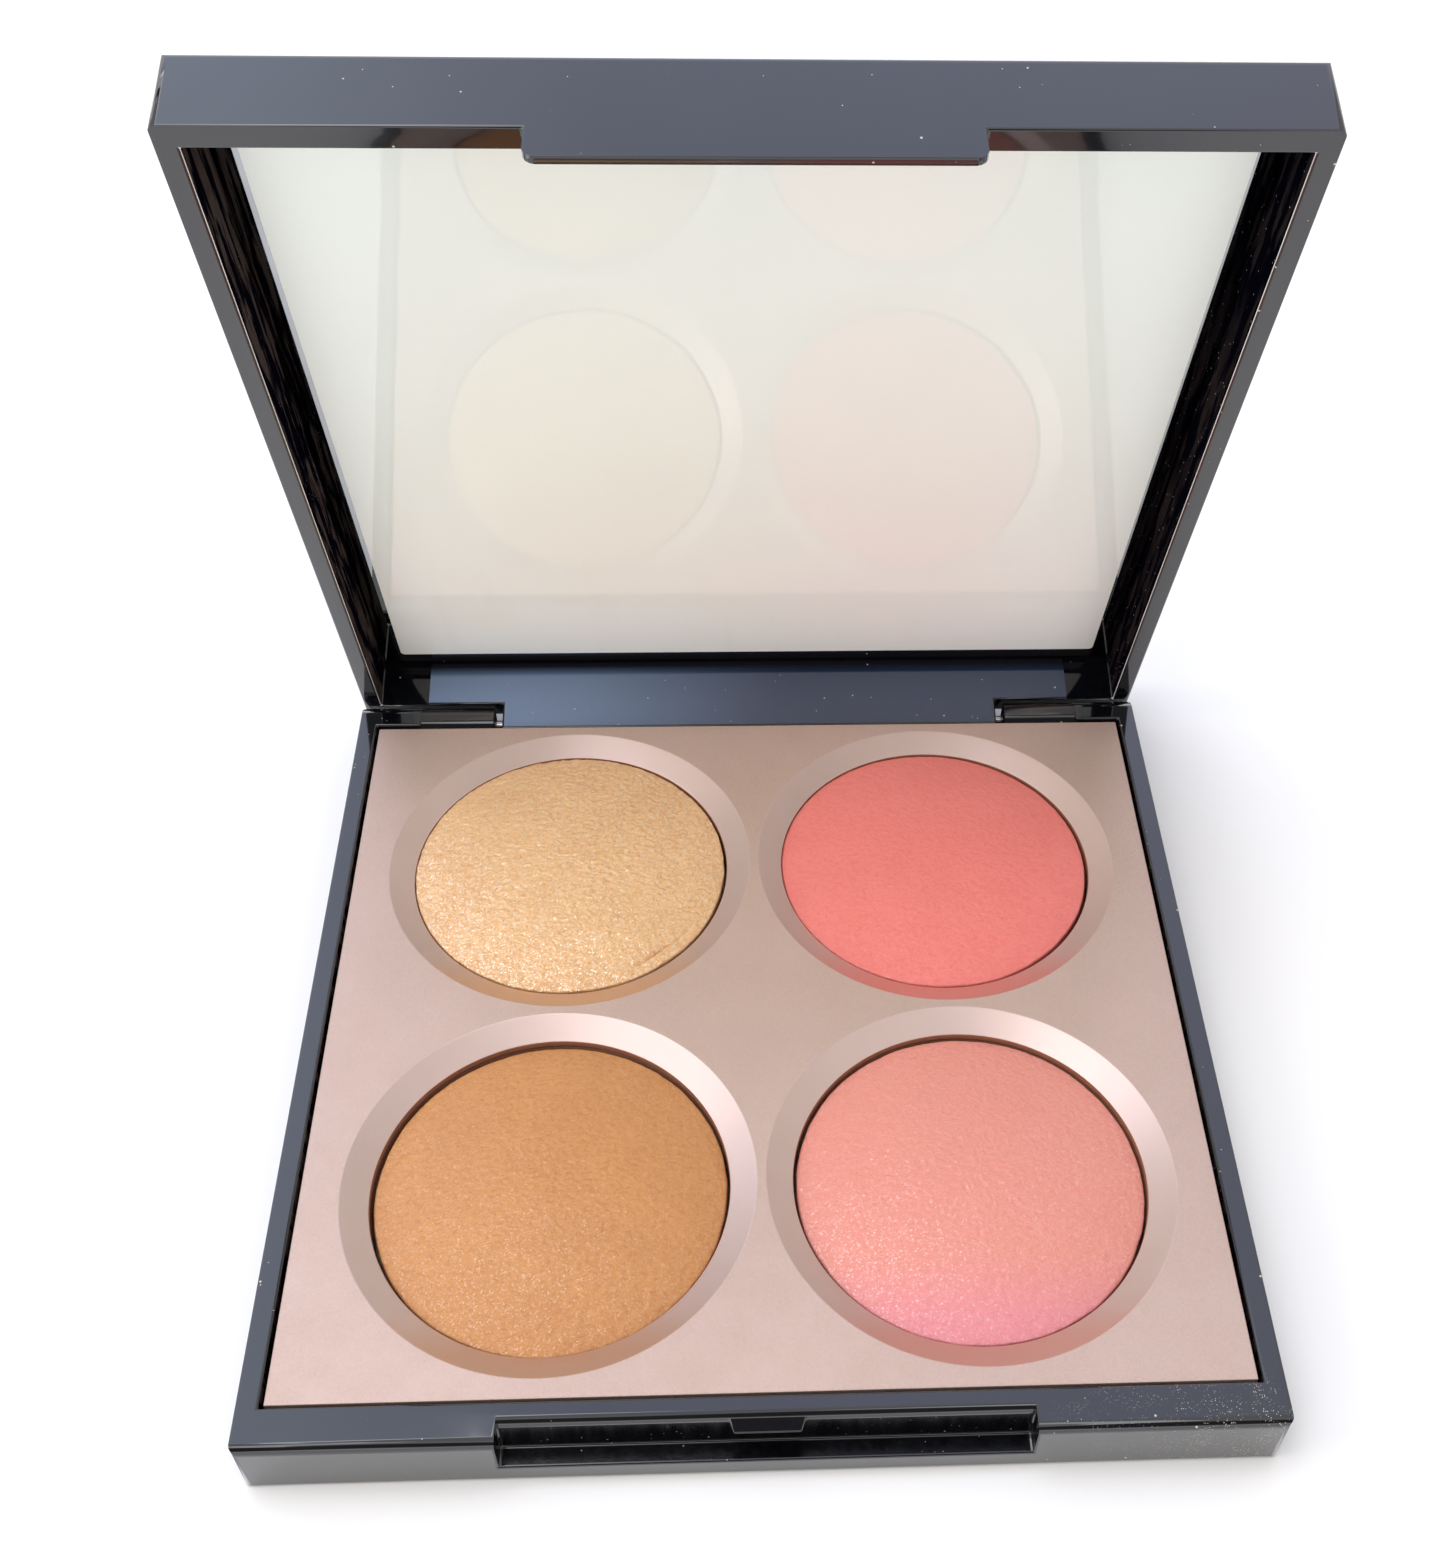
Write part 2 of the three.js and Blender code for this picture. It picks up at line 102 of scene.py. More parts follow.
FACING = 0.9                        # cosine from which a face counts as looking along an axis
SIDE_WALL_REACH = 46 * MM           # the side walls' inner faces lie nearer the middle than this
BASE_WALL_FOOT = 1.3 * MM
LID_WALL_FOOT = 8.2 * MM
NOTCH_LOW = (-24.5 * MM, -46.9 * MM, 2.6 * MM)
NOTCH_HIGH = (24.5 * MM, -45 * MM, 6.7 * MM)
REAR_WALL_FRONT = 30 * MM
REAR_WALL_HALF_WIDTH = 39 * MM
RIM_CORNER_OFFSET = 0.3 * MM        # outside the mirror's edge
RIM_CORNER_HALF_WIDTH = 0.17 * MM
RIM_CORNER_TOP = 8.0 * MM

# ---- mesh helpers ----------------------------------------------------------------------------


def new_piece(name, bm, body, node, materials, sharp_angle=32):
    """Makes an object from bm that stands for a CAD node and rides on its body."""
    bmesh.ops.recalc_face_normals(bm, faces=bm.faces)
    mesh = bpy.data.meshes.new(name)
    bm.to_mesh(mesh)
    bm.free()
    for material in materials:
        mesh.materials.append(material)
    mesh.shade_smooth()
    mesh.set_sharp_from_angle(angle=math.radians(sharp_angle))
    piece = bpy.data.objects.new(name, mesh)
    bpy.context.scene.collection.objects.link(piece)
    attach(piece, body)
    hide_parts(node)
    return piece


def soften_edges(piece, width, segments=2, angle=30):
    """Rounds the sharp edges, so that they catch the light."""
    bevel = piece.modifiers.new("edge_rounding", "BEVEL")
    bevel.width = width
    bevel.segments = segments
    bevel.limit_method = "ANGLE"
    bevel.angle_limit = math.radians(angle)
    bevel.harden_normals = True
    bevel.use_clamp_overlap = True
    return piece


def node_copy(node):
    """The CAD node's mesh with its triangles joined back into whole faces."""
    bm = bmesh.new()
    bm.from_mesh(frame["nodes"][node].data)
    bmesh.ops.remove_doubles(bm, verts=bm.verts, dist=0.001 * MM)
    bmesh.ops.dissolve_limit(
        bm, angle_limit=math.radians(0.5), verts=bm.verts, edges=bm.edges,
    )
    return bm


def face_depth(face, edge):
    """How far the face reaches away from one of its edges, on average."""
    return face.calc_area() / edge.calc_length()


def round_edges(bm, width, segments=2, sharp_angle=30):
    """Rounds every sharp edge whose two faces have room for it, and returns the new faces."""
    room = 2.2 * width
    edges = [
        e for e in bm.edges
        if e.calc_face_angle(0) > math.radians(sharp_angle)
        and e.calc_length() > room
        and all(face_depth(f, e) > room for f in e.link_faces)
    ]
    rounded = bmesh.ops.bevel(
        bm, geom=edges, offset=width, offset_type="OFFSET", segments=segments,
        profile=0.5, affect="EDGES", clamp_overlap=False,
    )["faces"]
    bmesh.ops.remove_doubles(bm, verts=bm.verts, dist=0.01 * MM)
    return [face for face in rounded if face.is_valid]


def weigh_normals(piece):
    """Keeps large flat faces flat beside their rounded edges."""
    weighted = piece.modifiers.new("flat_faces", "WEIGHTED_NORMAL")
    weighted.keep_sharp = True
    weighted.weight = 100
    return piece


def add_ring(bm, centre, radius, height, segments):
    """A level ring of vertices about a vertical axis through centre."""
    turn = 2 * math.pi / segments
    return [
        bm.verts.new((
            centre.x + radius * math.cos(i * turn),
            centre.y + radius * math.sin(i * turn),
            height,
        ))
        for i in range(segments)
    ]


def bridge(bm, lower, upper, material=0):
    """Quads between two rings of the same length."""
    count = len(lower)
    for i in range(count):
        j = (i + 1) % count
        face = bm.faces.new((lower[i], lower[j], upper[j], upper[i]))
        face.material_index = material


def lathe(bm, centre, profile, segments):
    """Turns (radius, height) pairs about a vertical axis, and closes both ends in a disc."""
    rings = [add_ring(bm, centre, radius, height, segments) for radius, height in profile]
    for inner, outer in zip(rings, rings[1:]):
        bridge(bm, inner, outer)
    bm.faces.new(rings[0])
    bm.faces.new(rings[-1])


# ---- node helpers ----------------------------------------------------------------------------


class Nodes:
    """Builds one procedural material around a single Principled shader."""

    def __init__(self, name):
        self.material = bpy.data.materials.new(name)
        self.material.use_nodes = True
        self.tree = self.material.node_tree
        self.shader = self.tree.nodes["Principled BSDF"]
        self.place = self.add("ShaderNodeTexCoord").outputs["Object"]

    def add(self, kind, **settings):
        node = self.tree.nodes.new(kind)
        for key, value in settings.items():
            setattr(node, key, value)
        return node

    def link(self, source, target):
        self.tree.links.new(source, target)

    def feed(self, socket, value):
        """Links value if it is an output socket, and sets it if it is a number or colour."""
        if isinstance(value, bpy.types.NodeSocket):
            self.link(value, socket)
        else:
            socket.default_value = value

    def set(self, **values):
        """Numbers, colours or output sockets for the shader's inputs, such as coat_weight=0.5."""
        for key, value in values.items():
            name = key.replace("_", " ").title().replace("Ior", "IOR")
            self.feed(self.shader.inputs[name], value)

    def scaled(self, stretch=(1, 1, 1), offset=(0, 0, 0), lean=0):
        """Object coordinates in millimetres, turned by lean about X, then stretched per axis."""
        turned = self.add("ShaderNodeVectorRotate", rotation_type="X_AXIS")
        turned.inputs["Angle"].default_value = lean
        self.link(self.place, turned.inputs["Vector"])
        mapping = self.add("ShaderNodeMapping")
        mapping.inputs["Scale"].default_value = [s / MM for s in stretch]
        mapping.inputs["Location"].default_value = offset
        self.link(turned.outputs["Vector"], mapping.inputs["Vector"])
        return mapping.outputs["Vector"]

    def noise(self, per_mm, detail=3, roughness=0.55, distortion=0, **place):
        """Noise with about per_mm features in a millimetre, 0 to 1 and 0.5 on average."""
        node = self.add("ShaderNodeTexNoise")
        self.link(self.scaled(**place), node.inputs["Vector"])
        node.inputs["Scale"].default_value = per_mm
        node.inputs["Detail"].default_value = detail
        node.inputs["Roughness"].default_value = roughness
        node.inputs["Distortion"].default_value = distortion
        return node.outputs["Fac"]

    def cells(self, per_mm, **place):
        """Voronoi cells, per_mm of them in a millimetre."""
        node = self.add("ShaderNodeTexVoronoi")
        self.link(self.scaled(**place), node.inputs["Vector"])
        node.inputs["Scale"].default_value = per_mm
        return node

    def draw(self, cells, channel):
        """One of the random numbers, 0 to 1, that each Voronoi cell holds as a colour."""
        split = self.add("ShaderNodeSeparateColor")
        self.link(cells.outputs["Color"], split.inputs["Color"])
        return split.outputs[channel]

    def range(self, value, low, high, to_low=0.0, to_high=1.0, smooth=False):
        """Maps low..high to to_low..to_high and clamps beyond."""
        node = self.add("ShaderNodeMapRange")
        node.interpolation_type = "SMOOTHSTEP" if smooth else "LINEAR"
        self.link(value, node.inputs["Value"])
        node.inputs["From Min"].default_value = low
        node.inputs["From Max"].default_value = high
        node.inputs["To Min"].default_value = to_low
        node.inputs["To Max"].default_value = to_high
        return node.outputs["Result"]

    def math(self, operation, a, b=0.0, clamp=False):
        node = self.add("ShaderNodeMath", operation=operation, use_clamp=clamp)
        self.feed(node.inputs[0], a)
        self.feed(node.inputs[1], b)
        return node.outputs["Value"]

    def blend(self, share, a, b):
        """Colour a where share is 0 and b where it is 1."""
        node = self.add("ShaderNodeMix", data_type="RGBA")
        self.feed(node.inputs["Factor"], share)
        self.feed(node.inputs[6], a)
        self.feed(node.inputs[7], b)
        return node.outputs[2]

    def bump(self, height, distance, under=None):
        """Relief of the given depth in metres where height goes from 0 to 1."""
        node = self.add("ShaderNodeBump")
        self.link(height, node.inputs["Height"])
        node.inputs["Distance"].default_value = distance
        node.inputs["Strength"].default_value = 1.0
        if under is not None:
            self.link(under, node.inputs["Normal"])
        return node.outputs["Normal"]

    def tilt(self, cells, amount, normal):
        """Leans the normal a random way in each Voronoi cell, as flakes of mica do."""
        centred = self.add("ShaderNodeVectorMath", operation="SUBTRACT")
        self.link(cells.outputs["Color"], centred.inputs[0])
        centred.inputs[1].default_value = (0.5, 0.5, 0.5)
        scaled = self.add("ShaderNodeVectorMath", operation="SCALE")
        self.link(centred.outputs["Vector"], scaled.inputs[0])
        self.feed(scaled.inputs["Scale"], amount)
        leaning = self.add("ShaderNodeVectorMath", operation="ADD")
        self.link(normal, leaning.inputs[0])
        self.link(scaled.outputs["Vector"], leaning.inputs[1])
        unit = self.add("ShaderNodeVectorMath", operation="NORMALIZE")
        self.link(leaning.outputs["Vector"], unit.inputs[0])
        return unit.outputs["Vector"]

    def axis(self, index):
        """One object coordinate, in millimetres."""
        split = self.add("ShaderNodeSeparateXYZ")
        self.link(self.scaled(), split.inputs["Vector"])
        return split.outputs[index]


# ---- materials -------------------------------------------------------------------------------

# pairs are the two colours that a finish drifts between
LACQUER = ((0.0025, 0.003, 0.005, 1), (0.0045, 0.005, 0.007, 1))
DUST = (0.55, 0.5, 0.43, 1)
# painted reflection on the lid cavity's rear wall, and the black it gives way to
PAINTED_REFLECTION = ((0.026, 0.042, 0.088, 1), (0.15, 0.22, 0.36, 1))
PAINTED_REFLECTION_END = (0.003, 0.003, 0.006, 1)
# painted shade: a darker black for the thumb notch
NOTCH_SHADE_BLACK = ((0.0015, 0.0015, 0.0025, 1), (0.003, 0.003, 0.004, 1))
# the side walls' lighter tone is used for painted reflections
SIDE_BLACK_AND_REFLECTION = ((0.0015, 0.0015, 0.004, 1), (0.052, 0.040, 0.036, 1))
LINT = (0.3, 0.28, 0.26, 1)
# painted highlight along the lid rim's inner corner
EDGE_HIGHLIGHT = ((0.72, 0.70, 0.68, 1), (0.88, 0.86, 0.83, 1))
ROSE = ((0.525, 0.378, 0.318, 1), (0.565, 0.412, 0.352, 1))
ROSE_FLAKE = (0.74, 0.6, 0.52, 1)
ROSE_RING = ((0.58, 0.43, 0.38, 1), (0.61, 0.455, 0.405, 1))
# holes' sides: powder stain and painted reflection of the powder
WELL_STAIN_AND_REFLECTION = ((0.22, 0.09, 0.05, 1), (0.38, 0.16, 0.095, 1))
SILVER = ((0.34, 0.355, 0.36, 1), (0.40, 0.415, 0.42, 1))
GLASS_EDGE = ((0.17, 0.17, 0.19, 1), (0.30, 0.30, 0.32, 1))
FILM = ((0.82, 0.875, 0.81, 1), (0.84, 0.895, 0.83, 1))
# painted light: the film's lighter colour towards the hinge
FILM_PAINTED_LIGHT = (0.95, 0.98, 0.95, 1)
FILM_STREAK = (0.81, 0.865, 0.80, 1)
ALUMINIUM = ((0.66, 0.66, 0.65, 1), (0.78, 0.78, 0.77, 1))
PAN_STAIN = ((0.20, 0.08, 0.045, 1), (0.34, 0.145, 0.085, 1))
STEEL = (0.62, 0.62, 0.64, 1)
GLUE = ((0.65, 0.6, 0.45, 1), (0.75, 0.7, 0.55, 1))
FOAM = ((0.7, 0.7, 0.68, 1), (0.8, 0.8, 0.78, 1))
PAPER = ((0.90, 0.885, 0.865, 1), (0.92, 0.905, 0.885, 1))
LID_LEAN = math.radians(-16.3)      # lines up the wall streaks, which carry painted reflections, with the lid at rest


def specks(n, per_mm, size, share, offset=(0, 0, 0)):
    """1 on small round grains in a share of the cells, 0 elsewhere; size is in cells."""
    cells = n.cells(per_mm, offset=offset)
    near = n.range(cells.outputs["Distance"], size * 0.7, size, 1.0, 0.0)
    chosen = n.math("LESS_THAN", n.draw(cells, "Red"), share)
    return n.math("MULTIPLY", near, chosen)


def spilt_powder(n):
    """Grains spilt on the right end of the base's front rim."""
    right = n.range(n.axis(0), 22, 43, smooth=True)
    front = n.range(n.axis(1), -41.5, -44, smooth=True)
    patches = n.range(n.noise(0.5, detail=3), 0.42, 0.62)
    grains = specks(n, 5.5, 0.33, 0.5, offset=(5.2, 0.4, 9.9))
    return n.math("MULTIPLY", n.math("MULTIPLY", right, front), n.math("MULTIPLY", patches, grains))


def black_lacquer(name, powder_fallout=False, painted_reflection=False):
    """Glossy black moulding with handling haze, dust and, on the front rim, spilt powder.

    With this flag, a cool blue-grey reflection is painted into the base colour of the cavity's rear
    wall, brightest at its left and black again past 52.4 mm along Y.
    """
    n = Nodes(name)
    haze = n.noise(0.12, detail=4, roughness=0.6)
    wipes = n.noise(0.5, detail=2, stretch=(0.25, 1.4, 1.4))
    dust = specks(n, 0.55, 0.075, 0.22)
    fine = specks(n, 1.6, 0.11, 0.05, offset=(3.1, 7.7, 1.3))
    dirt = n.math("MAXIMUM", dust, fine)
    if powder_fallout:
        dirt = n.math("MAXIMUM", dirt, spilt_powder(n))
    black = n.blend(n.range(haze, 0.35, 0.7), *LACQUER)
    # painted reflection: blue-grey, brighter towards -X, fading to black past 52.4 mm along Y
    if painted_reflection:
        black = n.blend(n.range(n.axis(0), 8, -32, smooth=True), *PAINTED_REFLECTION)
        black = n.blend(n.range(n.axis(1), 50.6, 52.4, smooth=True), black, PAINTED_REFLECTION_END)
    n.set(base_color=n.blend(dirt, black, DUST))
    gloss = n.math("ADD", n.range(haze, 0.3, 0.75, 0.05, 0.10), n.range(wipes, 0.45, 0.8, 0.0, 0.04))
    n.set(roughness=n.math("ADD", gloss, n.math("MULTIPLY", dirt, 0.6), clamp=True))
    n.set(ior=1.52, coat_weight=0.85, coat_roughness=0.04, coat_ior=1.5)
    ripple = n.bump(n.noise(0.09, detail=1), 0.02 * MM)
    n.set(normal=n.bump(dirt, 0.03 * MM, under=ripple))
    return n.material


def black_satin(name, tones, rough, gloss, lean=0):
    """Duller black of the mouldings' inner faces, with lint, and pale streaky patches that are painted
    reflections, mostly at the left.
    """
    n = Nodes(name)
    wall_streaks = n.noise(1.0, detail=3, stretch=(1, 1, 0.12), lean=lean)
    fade = n.noise(0.1, detail=3)
    # painted reflections are stronger at the left
    left_bias = n.range(n.axis(0), -40, 40, 1.1, 0.35)
    lint = specks(n, 1.3, 0.12, 0.16)
    fluff = specks(n, 2.6, 0.16, 0.12, offset=(4.4, 1.7, 0.3))
    drifts = n.range(n.noise(0.12, detail=2), 0.5, 0.62)
    lint = n.math("MAXIMUM", lint, n.math("MULTIPLY", fluff, drifts))
    # painted reflections: patches of the lighter tone
    reflection_patches = n.math("MULTIPLY", n.range(wall_streaks, 0.45, 0.55), n.range(fade, 0.35, 0.6, 0.3, 1.0))
    reflection_patches = n.math("MULTIPLY", reflection_patches, left_bias, clamp=True)
    n.set(base_color=n.blend(lint, n.blend(reflection_patches, *tones), LINT))
    n.set(roughness=n.range(wall_streaks, 0.3, 0.7, rough - 0.08, rough + 0.08))
    n.set(ior=1.45, specular_ior_level=gloss, normal=n.bump(wall_streaks, 0.02 * MM))
    return n.material


def painted_edge_highlight():
    """The lid rim's inner corner, painted pale along its length as a highlight."""
    n = Nodes("painted_edge_highlight")
    edge_streaks = n.noise(0.6, detail=3, stretch=(1, 0.3, 0.3))
    n.set(base_color=n.blend(n.range(edge_streaks, 0.35, 0.6), *EDGE_HIGHLIGHT))
    n.set(roughness=n.range(edge_streaks, 0.3, 0.7, 0.25, 0.4), ior=1.5)
    n.set(normal=n.bump(edge_streaks, 0.01 * MM))
    return n.material


def rose_satin():
    """Vacuum-metallised rose lacquer of the deck plate, with a fine satin grain."""
    n = Nodes("rose_satin")
    clouds = n.noise(0.08, detail=3)
    flakes = n.cells(9.0)
    body = n.blend(n.range(clouds, 0.3, 0.7), *ROSE)
    lit = n.blend(n.math("MULTIPLY", n.draw(flakes, "Green"), 0.3), body, ROSE_FLAKE)
    n.set(base_color=lit, metallic=0.68)
    worn = n.noise(0.35, detail=4)
    n.set(roughness=n.range(worn, 0.3, 0.7, 0.53, 0.60), ior=1.5)
    n.set(normal=n.tilt(flakes, 0.10, n.bump(n.noise(5.0, detail=2), 0.004 * MM)))
    return n.material


def satin_ring(shade):
    """The same lacquer on one well's smooth chamfer, tinted towards the powder's colour at the front:
    partly fallen powder, partly a painted reflection of the dome.
    """
    n = Nodes("rose_ring_" + shade)
    clouds = n.noise(0.1, detail=3)
    grain = n.noise(7.0, detail=2)
    clean = n.blend(n.range(clouds, 0.3, 0.7), *ROSE_RING)
    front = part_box("powder_" + shade)[0].y / MM
    # partly powder fallout, partly painted reflection of the dome
    powder_and_reflection = n.range(n.axis(1), front + 5, front - 1, 0.0, 0.55, smooth=True)
    n.set(base_color=n.blend(powder_and_reflection, clean, POWDERS[shade]["body"]))
    n.set(metallic=0.88, roughness=n.range(grain, 0.3, 0.7, 0.42, 0.50), ior=1.5)
    n.set(coat_weight=0.9, coat_roughness=0.32, coat_ior=1.75)
    n.set(normal=n.bump(grain, 0.0012 * MM))
    return n.material


def stain_and_reflection_wall():
    """Sides of the holes that hold the pans, brown-red: partly stained by powder, partly a painted
    reflection of the powder in the rose metal.
    """
    n = Nodes("stain_and_reflection_wall")
    stain = n.noise(1.2, detail=3)
    n.set(base_color=n.blend(stain, *WELL_STAIN_AND_REFLECTION))
    n.set(roughness=n.range(stain, 0.3, 0.7, 0.5, 0.7), ior=1.45)
    n.set(normal=n.bump(stain, 0.02 * MM))
    return n.material


POWDERS = {
    # body, deep and pearl: colours of the powder, of its darker patches and creases, and of its flakes
    # of mica; deep in the creases is painted shade
    # shimmer and glint: least and greatest share of pearl; spark and rarity: strength of the
    # glitter, and how few flakes have it; gleam: the glitter's index of refraction; lean: how far
    # its flakes tilt; rough: roughness; relief: depth of the fine relief, in millimetres
    "highlighter": dict(
        body=(0.75, 0.39, 0.145, 1), deep=(0.55, 0.215, 0.05, 1), pearl=(1.0, 0.76, 0.47, 1),
        shimmer=0.24, glint=0.75, spark=1.0, rarity=0.45, gleam=2.6, lean=0.5, rough=0.38,
        relief=0.15,
    ),
    "coral_blush": dict(
        body=(0.82, 0.195, 0.162, 1), deep=(0.75, 0.155, 0.125, 1), pearl=(0.98, 0.42, 0.42, 1),
        shimmer=0.10, glint=0.22, spark=0.4, rarity=0.8, gleam=2.1, lean=0.3, rough=0.42, relief=0.09,
    ),
    "bronzer": dict(
        body=(0.55, 0.235, 0.07, 1), deep=(0.44, 0.17, 0.045, 1), pearl=(0.85, 0.52, 0.30, 1),
        shimmer=0.10, glint=0.22, spark=0.4, rarity=0.8, gleam=2.1, lean=0.3, rough=0.42, relief=0.09,
    ),
    "peach_blush": dict(
        body=(0.69, 0.235, 0.172, 1), deep=(0.68, 0.22, 0.16, 1), pearl=(0.96, 0.50, 0.44, 1),
        shimmer=0.15, glint=0.32, spark=0.65, rarity=0.75, gleam=2.1, lean=0.32, rough=0.42, relief=0.09,
    ),
}
PEARL_CELLS = 7.0       # flakes in a millimetre
# painted sheen on the peach dome's front edge
LILAC_SHEEN = (0.80, 0.27, 0.42, 1)


def painted_lilac_sheen(n, colour, share):
    """Tints the peach dome's front edge lilac, a painted sheen of its pink pearl."""
    low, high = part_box("powder_peach_blush")
    start = (low.y * 0.72 + high.y * 0.28) / MM
    front = n.range(n.axis(1), start, low.y / MM + 1, 0, share, smooth=True)
    return n.blend(front, colour, LILAC_SHEEN)


def baked_powder(shade):
    """Baked powder: chalky relief with a share of pearly flakes that catch the light."""
    look = POWDERS[shade]
    n = Nodes("powder_" + shade)
    offset = (11.0 * SHADES.index(shade), 4.0, 0.0)
    clouds = n.noise(0.16, detail=3, offset=offset)
    grain = n.noise(5.0, detail=3, roughness=0.65, offset=offset)
    creases = n.noise(2.0, detail=4, roughness=0.6, distortion=0.5, offset=offset, stretch=(0.8, 1.2, 1))
    flakes = n.cells(PEARL_CELLS, offset=offset)
    chance = n.draw(flakes, "Blue")
    body = n.blend(n.range(clouds, 0.35, 0.75, 0.0, 0.5), look["body"], look["deep"])
    # painted shade: deep colour in the relief's hollows, where creases is low
    body = n.blend(n.range(creases, 0.52, 0.34, 0.0, 0.8), body, look["deep"])
    pearl = look["pearl"]
    # painted sheen: lilac towards the peach dome's front edge
    if shade == "peach_blush":
        body = painted_lilac_sheen(n, body, 0.3)
        pearl = painted_lilac_sheen(n, pearl, 0.7)
    flake = n.range(chance, 0.4, 1.0, 0.0, look["glint"])
    pearly = n.math("MAXIMUM", flake, look["shimmer"])
    n.set(base_color=n.blend(pearly, body, pearl), metallic=n.math("MULTIPLY", pearly, 0.3))
    n.set(roughness=look["rough"], specular_ior_level=0.4)
    relief = n.bump(creases, look["relief"] * MM)
    relief = n.bump(grain, look["relief"] * 0.3 * MM, under=relief)
    n.set(normal=n.tilt(flakes, look["lean"] * 0.5, relief))
    spark = n.range(chance, look["rarity"], 0.95, 0.0, look["spark"])
    n.set(coat_weight=spark, coat_roughness=0.16, coat_ior=look["gleam"])
    n.set(coat_normal=n.tilt(flakes, look["lean"], n.bump(grain, look["relief"] * 0.2 * MM)))
    n.set(ior=1.45, sheen_weight=0.03, sheen_roughness=0.5)
    return n.material


def silvered_mirror():
    """Mirror coat behind smeared glass."""
    n = Nodes("mirror_silver")
    smears = n.noise(0.25, detail=4, stretch=(1, 0.5, 0.5))
    n.set(base_color=n.blend(n.range(smears, 0.3, 0.7), *SILVER))
    n.set(metallic=1.0, roughness=n.range(smears, 0.4, 0.8, 0.015, 0.05))
    return n.material


def glass_edge():
    """Ground edge of the mirror's glass."""
    n = Nodes("mirror_edge")
    frost = n.noise(2.0, detail=3)
    n.set(base_color=n.blend(frost, *GLASS_EDGE))
    n.set(roughness=n.range(frost, 0.3, 0.7, 0.2, 0.4), ior=1.52)
    n.set(normal=n.bump(frost, 0.02 * MM))
    return n.material


def milky_film():
    """Glossy protective film, painted lighter towards the hinge to offset the shade there, with faint
    streaks.
    """
    n = Nodes("milky_film")
    clouds = n.noise(0.05, detail=3)
    streaks = n.noise(0.35, detail=3, stretch=(1, 0.15, 0.15))
    cream = n.blend(n.range(clouds, 0.3, 0.7), *FILM)
    # painted light: lighter towards the bottom, where less light reaches
    cream = n.blend(n.range(n.axis(2), 50, 12, smooth=True), cream, FILM_PAINTED_LIGHT)
    n.set(base_color=n.blend(n.range(streaks, 0.55, 0.8, 0.0, 0.2), cream, FILM_STREAK))
    n.set(roughness=n.range(streaks, 0.3, 0.7, 0.01, 0.03), ior=1.85)
    n.set(normal=n.bump(n.noise(0.08, detail=2), 0.02 * MM))
    return n.material


def drawn_steel():
    """Steel of the hinge pins, with fine lines along them."""
    n = Nodes("pin_steel")
    lines = n.noise(3.0, detail=3, stretch=(0.15, 1, 1))
    dark = tuple(c * 0.85 for c in STEEL[:3]) + (1,)
    n.set(base_color=n.blend(lines, dark, STEEL), metallic=1.0)
    n.set(roughness=n.range(lines, 0.3, 0.7, 0.17, 0.33))
    n.set(normal=n.bump(lines, 0.01 * MM))
    return n.material


def stained_pan():
    """Pressed aluminium, stained by powder round its rim."""
    n = Nodes("pan_aluminium")
    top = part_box("pan_" + SHADES[0])[1].z / MM
    grain = n.noise(2.0, detail=3)
    clean = n.blend(grain, *ALUMINIUM)
    stain = n.blend(grain, *PAN_STAIN)
    rim = n.range(n.axis(2), top - 1.4, top - 0.7)
    n.set(base_color=n.blend(rim, clean, stain), metallic=n.range(rim, 0, 1, 1, 0))
    n.set(roughness=n.range(rim, 0, 1, 0.32, 0.6), normal=n.bump(grain, 0.01 * MM))
    return n.material


def soft_plastic(name, tones, rough):
    """Matt parts out of sight: glue discs and foam tape."""
    n = Nodes(name)
    pores = n.noise(1.5, detail=4)
    n.set(base_color=n.blend(pores, *tones))
    n.set(roughness=n.range(pores, 0.3, 0.7, rough - 0.1, rough + 0.1))
    n.set(normal=n.bump(pores, 0.04 * MM))
    return n.material


# ---- base ------------------------------------------------------------------------------------


def is_side_wall(place, normal):
    """Inner faces of the two side walls, which look at the moulding's middle."""
    inward = place.x * normal.x < 0 and abs(normal.x) > FACING
    return inward and abs(place.x) < SIDE_WALL_REACH


def base_zone(place, normal):
    """Finish of a face of the base: 0 lacquer, 1 satin side wall, 2 thumb notch, darker and less glossy
    to paint its shade.
    """
    if all(low < at < high for low, at, high in zip(NOTCH_LOW, place, NOTCH_HIGH)):
        return 2
    return 1 if is_side_wall(place, normal) and place.z > BASE_WALL_FOOT else 0


def lid_zone(place, normal):
    """Finish of a face of the shut lid: 0 lacquer, 1 satin side wall, 2 middle of the rear wall."""
    if place.y > REAR_WALL_FRONT and normal.y < -FACING and abs(place.x) < REAR_WALL_HALF_WIDTH:
        return 2
    return 1 if is_side_wall(place, normal) and place.z > LID_WALL_FOOT else 0


def is_rim_corner(place):
    """The inner corner of the shut lid's side rims."""
    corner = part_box("mirror_glass")[1].x + RIM_CORNER_OFFSET
    return abs(abs(place.x) - corner) < RIM_CORNER_HALF_WIDTH and place.z < RIM_CORNER_TOP


def build_shell(node, body, materials, turn, zone):
    """A black moulding with a finish for each zone of its faces, which turn brings to shut."""
    bm = node_copy(node)
    for face in bm.faces:
        face.material_index = zone(turn @ face.calc_center_median(), turn.to_3x3() @ face.normal)
    for face in round_edges(bm, SHELL_ROUNDING, segments=3):
        if body == "lid" and is_rim_corner(turn @ face.calc_center_median()):
            # the rim's inner corner gets the painted highlight
            face.material_index = 3
    piece = new_piece(node + "_moulding", bm, body, node, materials, 40)
    return weigh_normals(piece)


